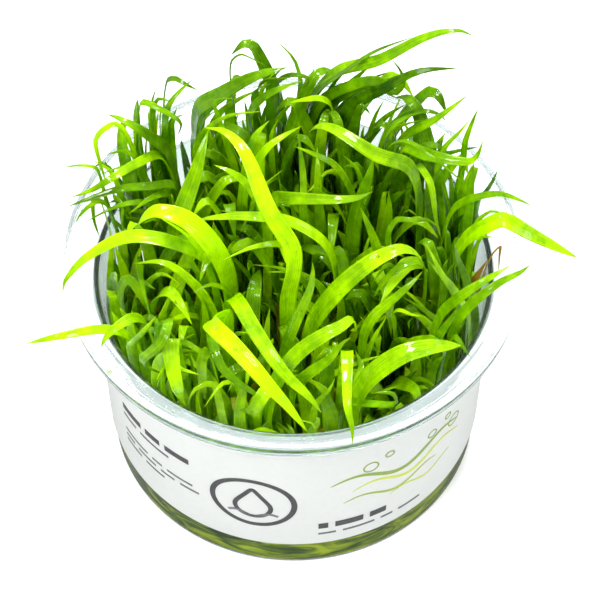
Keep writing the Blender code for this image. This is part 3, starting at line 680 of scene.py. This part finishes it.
def inOrder(ring, known):
    # puts a ring's corners in the order of the next ring's: right edge, top, left edge, underside
    here, there = middle(ring), middle(known)

    def match(order):
        return sum((ring[order[i]] - here).dot(known[i] - there) for i in range(4))

    return [ring[i] for i in max(permutations(range(4)), key=match)]


def firstOrder(ring):
    # the two corners that are farthest apart are the edges, and the fold shows which side is the top
    pairs = [(i, j) for i in range(4) for j in range(i + 1, 4)]
    i, j = max(pairs, key=lambda p: (ring[p[0]] - ring[p[1]]).length)
    k, m = [n for n in range(4) if n not in (i, j)]
    fold = (ring[i] + ring[j]) / 2 - (ring[k] + ring[m]) / 2
    if (ring[k] - ring[m]).dot(fold) < 0:
        k, m = m, k
    return [ring[i], ring[k], ring[j], ring[m]]


def readLeaves(node):
    # every leaf of a CAD node as a route: its midline, half widths, and the ways to its side and top
    mesh = mergedCopy(node)
    routes = []
    for vert in mesh.verts:
        if sum(loop.calc_angle() for loop in vert.link_loops) > math.radians(sharpTip):
            continue
        rings = ringsFrom(vert)
        if len(rings) < 3:
            continue
        widths = [max((a - b).length for a in ring for b in ring) for ring in rings]
        widest = widths.index(max(widths))
        rings[widest] = firstOrder(rings[widest])
        for i in range(widest + 1, len(rings)):
            rings[i] = inOrder(rings[i], rings[i - 1])
        for i in range(widest - 1, -1, -1):
            rings[i] = inOrder(rings[i], rings[i + 1])
        routes.append(routeOf(rings, vert.co.copy()))
    top = crown["heights"][1] * mm + crown["near"] * mm
    foot = middle([v.co for v in mesh.verts if v.co.z < top])
    mesh.free()
    return routes, foot


def routeOf(rings, tip):
    route = dict(
        centres=[(r[1] + r[3]) / 2 for r in rings],
        halves=[(r[0] - r[2]).length / 2 for r in rings],
        sides=[(r[0] - r[2]).normalized() for r in rings],
        ups=[(r[1] - r[3]).normalized() for r in rings],
    )
    route["centres"].append(tip)
    route["halves"].append(0.0)
    route["sides"].append(route["sides"][-1])
    route["ups"].append(route["ups"][-1])
    return route


def rooted(route, foot):
    # starts a leaf inside its crown, or a single leaf inside the jelly
    low = crown["heights"][0] * mm - crown["below"] * mm
    route["centres"].insert(0, Vector((foot.x, foot.y, low)))
    for key in ("halves", "sides", "ups"):
        route[key].insert(0, route[key][0])
    return route


def lengthsOf(route):
    places = [0.0]
    for a, b in zip(route["centres"], route["centres"][1:]):
        places.append(places[-1] + (b - a).length)
    return places


def through(places, values, at):
    # a smooth line through values, numbers or vectors alike
    last = len(places) - 1
    k = 0
    while k < last - 1 and places[k + 1] < at:
        k += 1

    def slope(i):
        a, b = max(i - 1, 0), min(i + 1, last)
        return (values[b] - values[a]) / (places[b] - places[a])

    span = places[k + 1] - places[k]
    t = min(max((at - places[k]) / span, 0), 1)
    return (
        values[k] * (2 * t**3 - 3 * t**2 + 1)
        + slope(k) * (span * (t**3 - 2 * t**2 + t))
        + values[k + 1] * (3 * t**2 - 2 * t**3)
        + slope(k + 1) * (span * (t**3 - t**2))
    )


leafSize = dict(
    around=14, perMillimetre=0.62, least=30, most=64, crowded=1.25,  # faces round and along a leaf
    thickness=0.45, atFoot=1.15, thinning=0.55, thinBelow=0.25,
    fold=0.26, crease=0.012,
    wave=0.07, waves=(2, 4), waveShare=(0.2, 1),
    mapPerMetre=100,
)


def surfaceRow(route, places, share):
    at = share * places[-1]
    side = through(places, route["sides"], at).normalized()
    up = through(places, route["ups"], at)
    up = (up - side * up.dot(side)).normalized()
    half = max(through(places, route["halves"], at), 0)
    return through(places, route["centres"], at), half, side, up


def surfacePoint(route, row, share, across, around):
    # across runs from edge to edge, and around from the underside to the top
    size = leafSize
    centre, half, side, up = row
    phase, waves, wave = route["ripple"]
    thick = size["thickness"] * mm / 2 * (size["atFoot"] - size["thinning"] * share)
    thick *= min(1, half / (size["thinBelow"] * mm))
    lift = size["fold"] * math.sqrt(across**2 + size["crease"])
    lift += wave * across * math.sin(share * waves * math.tau + phase)
    return centre + side * across * half + up * (thick * around + half * lift)


def makeLeaf(mesh, route, tone, age, around, dense):
    size = leafSize
    places = lengthsOf(route)
    length = places[-1]
    count = min(max(int(length / mm * size["perMillimetre"]), size["least"]), size["most"])
    rows = int(count * dense)
    made = bmesh.ops.create_grid(mesh, x_segments=around, y_segments=rows, size=1)["verts"]
    uvLayer = mesh.loops.layers.uv["leafMap"]
    toneLayer = mesh.verts.layers.float["tone"]
    ageLayer = mesh.verts.layers.float["age"]
    phase, waves = chance.uniform(0, math.tau), chance.uniform(*size["waves"])
    route["ripple"] = (phase, waves, size["wave"] * chance.uniform(*size["waveShare"]))
    # the grid is rolled up into a closed blade, with its rows closer together toward the tip
    spot = {}
    for vert in made:
        angle = (vert.co.x + 1) * math.pi
        share = (vert.co.y + 1) / 2
        spot[vert] = (math.cos(angle), math.sin(angle), 1 - (1 - share) ** size["crowded"])
    for face in {f for v in made for f in v.link_faces}:
        for loop in face.loops:
            across, top, share = spot[loop.vert]
            loop[uvLayer].uv = (across, share * length * size["mapPerMetre"])
    known = {}
    for vert, (across, top, share) in spot.items():
        if share not in known:
            known[share] = surfaceRow(route, places, share)
        point = surfacePoint(route, known[share], share, across, top)
        # no leaf leaves the box of the CAD part
        vert.co = [min(max(value, low), high) for value, low, high in zip(point, *cadBox)]
        vert[toneLayer] = tone
        vert[ageLayer] = age
    bmesh.ops.remove_doubles(mesh, verts=made, dist=1e-7)


# how light each single leaf is, from nought to one: partly the leaf's own colour and partly painted light,
# lighter for leaves lit at the front and left and darker for shaded leaves at the back
leafToneAndPaintedLight = {
    "leaf_back_curl": 0.3, "leaf_back_fold": 0.4, "leaf_back_left_upright": 0.5,
    "leaf_back_right_tip": 0.6, "leaf_centre_bright": 0.88, "leaf_centre_flat": 0.6,
    "leaf_centre_left": 0.8, "leaf_centre_upright": 0.4, "leaf_far_left": 0.78,
    "leaf_front_bright": 0.95, "leaf_front_gloss": 0.7, "leaf_front_long": 0.75,
    "leaf_front_tip": 0.75, "leaf_front_upright": 0.6, "leaf_left_blunt": 0.7, "leaf_left_drop": 0.8,
    "leaf_left_fan": 0.62, "leaf_left_flat": 0.62, "leaf_left_hook": 0.6, "leaf_left_long_arch": 0.72,
    "leaf_left_wide": 0.45, "leaf_right_arch": 0.72, "leaf_right_flat": 0.6, "leaf_right_gloss": 0.75,
    "leaf_right_narrow": 0.6, "leaf_right_rim_high": 0.65, "leaf_right_rim_low": 0.65,
    "leaf_right_sweep": 0.62, "leaf_right_upright": 0.5, "leaf_right_wave": 0.55, "leaf_right_wide": 0.7,
    "leaf_spear": 0.6,
}


fillSize = dict(
    each=60, tries=34,  # younger leaves that a rosette may get, and tries for each
    samples=10, guide=20, free=5,
    half=(1.1, 2.5), neck=0.4, neckTo=0.5, tip=2.6, roundness=0.8,
    reach=(0.66, 0.98), start=(0.0, 0.35), end=(0.4, 1.0), leaning=1.6,
    facing=(0.0, -0.56, 0.83), swing=1.2, twist=0.9,
    bend=4.0, droop=(0.0, 9.0), drop=0.7, hangFrom=0.45,
    gap=0.1, wallGap=0.4,
    around=10, dense=0.6,
)


def evenPoints(route):
    places, count = lengthsOf(route), fillSize["guide"]
    return np.array([through(places, route["centres"], places[-1] * k / count) for k in range(count + 1)])


def pointsAt(table, shares):
    known = np.linspace(0, 1, len(table))
    return np.stack([np.interp(shares, known, table[:, axis]) for axis in range(3)], axis=1)


def unit(rows):
    return rows / np.linalg.norm(rows, axis=1)[:, None]


def younger(first, second):
    # a leaf that rises beside one leaf of its crown and arches over toward another, and is no longer
    size = fillSize
    shares = np.linspace(0, 1, size["samples"] + 1)
    swing = chance.uniform(-size["swing"], size["swing"])
    turns = swing + chance.uniform(-size["twist"], size["twist"]) * shares
    x, y, z = size["facing"]
    cosines, sines = np.cos(turns), np.sin(turns)
    facing = np.stack([x * cosines - y * sines, x * sines + y * cosines, np.full(len(shares), z)], axis=1)
    bend = np.array((chance.uniform(-1, 1), chance.uniform(-1, 1), 0)) * size["bend"] * mm
    reach = chance.uniform(*size["reach"])
    start, end = chance.uniform(*size["start"]), chance.uniform(*size["end"])
    lean = (start + (end - start) * shares ** size["leaning"])[:, None]
    centres = pointsAt(first, shares * reach) * (1 - lean) + pointsAt(second, shares * reach) * lean
    centres = centres + bend * np.sin(shares * math.pi)[:, None]
    # the upper half hangs over to one side
    way = chance.uniform(0, math.tau)
    hang = np.array((math.cos(way), math.sin(way), -size["drop"])) * chance.uniform(*size["droop"]) * mm
    upper = np.maximum(shares - size["hangFrom"], 0) / (1 - size["hangFrom"])
    centres = centres + hang * upper[:, None] ** 2
    tangents = unit(np.gradient(centres, axis=0))
    sides = unit(np.cross(facing, tangents))
    for k in range(1, len(sides)):
        if sides[k].dot(sides[k - 1]) < 0:
            sides[k] = -sides[k]
    neck = size["neck"] + (1 - size["neck"]) * np.minimum(1, shares / size["neckTo"])
    halves = chance.uniform(*size["half"]) * mm * neck * (1 - shares ** size["tip"]) ** size["roundness"]
    return dict(centres=centres, halves=halves, sides=sides, ups=np.cross(tangents, sides))


def hullOf(route, spare, first=0):
    # a coarse blade without its ends, for finding where two leaves would touch
    centres, sides, ups = (np.array(route[key][first:], float) for key in ("centres", "sides", "ups"))
    halves = np.array(route["halves"][first:], float)[:, None]
    ups = unit(ups - sides * np.sum(ups * sides, axis=1)[:, None])
    edge = ups * halves * leafSize["fold"]
    thick = leafSize["thickness"] * mm / 2 + spare
    wide = sides * (halves + spare)
    corners = (centres + wide + edge, centres + ups * thick, centres - wide + edge, centres - ups * thick)
    points = np.stack(corners, axis=1).reshape(-1, 3)
    faces = []
    for i in range(len(centres) - 1):
        for j in range(4):
            k = (j + 1) % 4
            faces.append((4 * i + j, 4 * i + k, 4 * i + 4 + k, 4 * i + 4 + j))
    return BVHTree.FromPolygons(points.tolist(), faces), points.min(0), points.max(0)


class Standing:
    # all leaves that stand in the cup so far
    def __init__(self):
        self.trees, self.lows, self.highs = [], [], []

    def add(self, hull):
        self.trees.append(hull[0])
        self.lows.append(hull[1])
        self.highs.append(hull[2])

    def touches(self, hull):
        tree, low, high = hull
        near = np.all((np.array(self.lows) <= high) & (np.array(self.highs) >= low), axis=1)
        return any(tree.overlap(self.trees[i]) for i in np.flatnonzero(near))


def insideMouth(route):
    # below the mouth a leaf stays within the wall, and above it within the rim
    x, y, z = (route["centres"] / mm).T
    room = np.where(z < cupSize["height"] + 1, wallRadius(z) - cupSize["wall"], cupSize["rimRadius"])
    return bool(np.all(np.hypot(x, y) + route["halves"] / mm < room - fillSize["wallGap"]))


def growBetween(routes, standing, walls):
    size = fillSize
    tables = [evenPoints(route) for route in routes]
    grown = []
    for k in range(size["each"]):
        for attempt in range(size["tries"]):
            i, j = chance.sample(range(len(routes)), 2)
            new = younger(tables[i], tables[j])
            if not insideMouth(new):
                continue
            hull = hullOf(new, size["gap"] * mm, size["free"])
            if standing.touches(hull) or any(hull[0].overlap(wall) for wall in walls):
                continue
            standing.add(hullOf(new, 0, size["free"]))
            vectors = {key: [Vector(row) for row in new[key]] for key in ("centres", "sides", "ups")}
            grown.append(dict(vectors, halves=new["halves"].tolist()))
            break
    return grown


def makeLeaves():
    pattern = leafPattern()
    material = leafMaterial("livingLeaf", pattern)
    young = leafMaterial("youngLeaf", pattern)
    plants = {}
    for name, node in sorted(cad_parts.items()):
        if name.startswith(("leaf_", "plantlet_")):
            plants[name] = readLeaves(node)
    standing = Standing()
    for routes, foot in plants.values():
        for route in routes:
            standing.add(hullOf(route, 0))
    walls = [BVHTree.FromBMesh(mergedCopy(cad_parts[name])) for name in ("cup", "gel")]
    allLeaves = []
    for name, (routes, foot) in plants.items():
        single = name.startswith("leaf_")
        grown = [] if single else growBetween(routes, standing, walls)
        mesh = bmesh.new()
        mesh.verts.layers.float.new("tone")
        mesh.verts.layers.float.new("age")
        mesh.loops.layers.uv.new("leafMap")
        for route in routes:
            foothold = route["centres"][0] if single else foot
            tone, age = lookOf(route)
            tone = leafToneAndPaintedLight.get(name, tone)
            makeLeaf(mesh, rooted(route, foothold), tone, age, leafSize["around"], 1.0)
        for route in grown:
            tone, age = lookOf(route)
            low = route["centres"][-1].z < youth["oldBelow"] * mm
            if low and chance.random() < youth["oldShare"]:
                age = chance.uniform(*youth["oldAge"])
            makeLeaf(mesh, rooted(route, foot), tone, age, fillSize["around"], fillSize["dense"])
        allLeaves += routes + grown
        bmesh.ops.recalc_face_normals(mesh, faces=mesh.faces)
        words = name.replace("plantlet", "plant").split("_")
        pieceName = words[0] + "".join(w.title() for w in words[1:])
        if single:
            addPiece(pieceName, mesh, material, (name,))
        else:
            addPiece(pieceName, mesh, young, (name,))
            print(pieceName, len(routes), "leaves and", len(grown), "younger ones")
    print("leaves:", len(allLeaves))
    return allLeaves


# leaves that stand out by their colour: where the tip is, tone and age
leafSpots = [
    ((-33, -3, 74), 0.92, 0.0),
    ((-1, 29, 88), 0.36, 0.0),
    ((-21, 0, 72), 0.85, 0.0),
    ((0, 9, 86), 0.6, 0.0),
    ((39, 36, 90), 0.5, 0.0),
    ((37, 19, 91), 0.55, 0.0),
    ((27, -14, 73), 0.6, 0.0),
    ((44, -6, 61), 0.3, 1.0),
    ((1, 13, 85), 0.9, 0.0),
    ((-1, 25, 81), 0.85, 0.0),
]
# the tone's steps toward the front and the left are painted light
youth = dict(
    tone=0.54, toFront=0.14, toLeft=0.1, acrossCup=45, spread=0.28,
    oldBelow=52, oldShare=0.12, oldAge=(0.5, 1), spotReach=5,
)


def lookOf(route):
    # painted light: leaves at the front and on the left are made the lightest, as if lit from the front
    # left, around a random spread of their own tone
    tip = route["centres"][-1] / mm
    for place, tone, age in leafSpots:
        if (Vector(place) - tip).length < youth["spotReach"]:
            return tone, age
    wide = youth["acrossCup"]
    tone = youth["tone"] - youth["toFront"] * tip.y / wide - youth["toLeft"] * tip.x / wide
    return tone + chance.uniform(-1, 1) * youth["spread"], 0.0


# ---- drops of water

dropSize = dict(
    onLeaves=260, along=(0.35, 0.96), across=0.6, radius=(0.2, 0.62), smaller=1.3, least=0.15, ofLeaf=0.5,
    lowest=50, facing=0.25,
    flat=0.6, sunk=0.125,
    onRim=60, rimRadius=(0.15, 0.4), fromMouth=1.6, fromRim=2.8,
    dishFoot=(1.2, 0.45), dishTop=(2.3, 0.62),  # where the dished top of the flange begins and ends
)
waterLook = dict(colour=(0.98, 1.0, 0.97), ior=1.33, roughness=0.06, ripple=400)


def waterMaterial():
    look = waterLook
    material, nodes, links, shader, output = newMaterial("waterDrops")
    grain = grainNode(nodes, look["ripple"])
    links.new(mathNode(nodes, links, "MULTIPLY", grain, look["roughness"]), shader.inputs["Roughness"])
    shader.inputs["Base Color"].default_value = (*look["colour"], 1)
    shader.inputs["Transmission Weight"].default_value = 1
    shader.inputs["IOR"].default_value = look["ior"]
    return material


def addDrop(mesh, place, up, radius):
    size = dropSize
    made = bmesh.ops.create_icosphere(mesh, subdivisions=2, radius=radius)["verts"]
    turn = up.to_track_quat("Z", "Y").to_matrix()
    for vert in made:
        flat = Vector((vert.co.x, vert.co.y, vert.co.z * size["flat"] - radius * size["sunk"]))
        vert.co = place + turn @ flat


def makeDrops(routes):
    size = dropSize
    mesh = bmesh.new()
    toLight = Vector(fillSize["facing"])
    count = 0
    while count < size["onLeaves"]:
        route = chance.choice(routes)
        share, across = chance.uniform(*size["along"]), chance.uniform(-size["across"], size["across"])
        places = lengthsOf(route)
        row = surfaceRow(route, places, share)
        top = row[3].z > 0
        up = row[3] if top else -row[3]
        radius = min(chance.uniform(*size["radius"]) ** size["smaller"] * mm, row[1] * size["ofLeaf"])
        shaded = row[0].z < size["lowest"] * mm or up.dot(toLight) < size["facing"]
        if shaded or radius < size["least"] * mm:
            continue
        height = math.sqrt(1 - across**2) * (1 if top else -1)
        addDrop(mesh, surfacePoint(route, row, share, across, height), up, radius)
        count += 1
    mouth, rim = cupSize["mouthRadius"], cupSize["rimRadius"]
    inner, raised = size["dishFoot"]
    outer, lowered = size["dishTop"]
    low = cupSize["height"] - cupSize["flangeDish"] + raised
    for k in range(size["onRim"]):
        angle = chance.uniform(0, math.tau)
        out = chance.uniform(mouth + size["fromMouth"], rim - size["fromRim"])
        share = (out - mouth - inner) / (rim - outer - mouth - inner)
        z = low + (cupSize["height"] - lowered - low) * share
        place = Vector((out * math.cos(angle), out * math.sin(angle), z)) * mm
        addDrop(mesh, place, Vector((0, 0, 1)), chance.uniform(*size["rimRadius"]) * mm)
    return addPiece("waterDrops", mesh, waterMaterial())


# ---- floor, light and camera

studio = dict(
    floor=(0.6, 0.6, 0.6), floorGlow=0.45, floorRoughness=0.9, floorSize=4,
    mirrored=0.25, room=1.0, fill=0.62,
    aim=(0, 0, 0.045),
    lights=(  # name, place, width and power
        ("keyLight", (-0.35, -0.45, 0.9), 0.3, 9.0),
        ("backLight", (0.15, 0.8, 0.8), 0.32, 9.0),
        ("topLight", (0.12, 0.18, 1.0), 0.24, 8.0),
        ("sideLight", (0.9, -0.1, 0.6), 0.4, 3.0),
    ),
)


def mirroredOnly(nodes, links):
    # one in a mirror, and nought where it is seen straight or through something clear
    path = nodes.new("ShaderNodeLightPath")
    straight = mathNode(nodes, links, "SUBTRACT", 1.0, path.outputs["Is Transmission Ray"])
    return mathNode(nodes, links, "MULTIPLY", path.outputs["Is Glossy Ray"], straight)


def makeStudio():
    mesh = bmesh.new()
    bmesh.ops.create_grid(mesh, x_segments=1, y_segments=1, size=studio["floorSize"])
    data = bpy.data.meshes.new("floor")
    mesh.to_mesh(data)
    mesh.free()
    material, nodes, links, shader, output = newMaterial("paleFloor")
    # a white table lit from below, dimmer in mirrors
    dark = tuple(studio["mirrored"] * value for value in studio["floor"])
    mirrored = mirroredOnly(nodes, links)
    links.new(mixColour(nodes, links, "MIX", mirrored, studio["floor"], dark), shader.inputs["Base Color"])
    shader.inputs["Emission Color"].default_value = (1, 1, 1, 1)
    glow = studio["floorGlow"]
    dimmed = mathNode(nodes, links, "MULTIPLY", mirrored, glow * (1 - studio["mirrored"]))
    glow = mathNode(nodes, links, "SUBTRACT", glow, dimmed)
    links.new(glow, shader.inputs["Emission Strength"])
    shader.inputs["Roughness"].default_value = studio["floorRoughness"]
    data.materials.append(material)
    floor = bpy.data.objects.new("floor", data)
    bpy.context.scene.collection.objects.link(floor)
    world = bpy.data.worlds.new("softRoom")
    world.use_nodes = True
    nodes, links = world.node_tree.nodes, world.node_tree.links
    nodes["Background"].inputs[0].default_value = (1, 1, 1, 1)
    # the room is full white where it is seen, and dimmer where it only lights the plants or is mirrored
    path = nodes.new("ShaderNodeLightPath")
    straight, clear = path.outputs["Is Camera Ray"], path.outputs["Is Transmission Ray"]
    seen = mathNode(nodes, links, "ADD", straight, clear, True)
    strength = mathNode(nodes, links, "MULTIPLY", seen, studio["room"] - studio["fill"])
    strength = mathNode(nodes, links, "ADD", strength, studio["fill"])
    mirrored = mirroredOnly(nodes, links)
    dimmed = mathNode(nodes, links, "MULTIPLY", mirrored, studio["fill"] - studio["mirrored"])
    links.new(mathNode(nodes, links, "SUBTRACT", strength, dimmed), nodes["Background"].inputs[1])
    bpy.context.scene.world = world
    aim = Vector(studio["aim"])
    for name, place, width, power in studio["lights"]:
        light = bpy.data.lights.new(name, "AREA")
        light.size = width
        light.energy = power
        lamp = bpy.data.objects.new(name, light)
        lamp.location = place
        lamp.rotation_euler = (aim - Vector(place)).to_track_quat("-Z", "Y").to_euler()
        bpy.context.scene.collection.objects.link(lamp)


view = dict(place=(1.4, -297.03, 459.42), aim=(1.4, 0, 43), lens=138, sensor=36, nearest=10)


def makeCamera():
    lens = bpy.data.cameras.new("camera")
    lens.lens = view["lens"]
    lens.sensor_width = view["sensor"]
    lens.clip_start = view["nearest"] * mm
    camera = bpy.data.objects.new("camera", lens)
    camera.location = Vector(view["place"]) * mm
    aim = (Vector(view["aim"]) - Vector(view["place"])) * mm
    camera.rotation_euler = aim.to_track_quat("-Z", "Y").to_euler()
    bpy.context.scene.collection.objects.link(camera)
    bpy.context.scene.camera = camera
    bpy.context.scene.view_settings.view_transform = "Standard"


makeCup()
makeBand()
makePrint()
makeJelly()
print("cup, band and jelly made")
leaves = makeLeaves()
makeDrops(leaves)
print("drops made")
makeStudio()
makeCamera()
print("studio made")
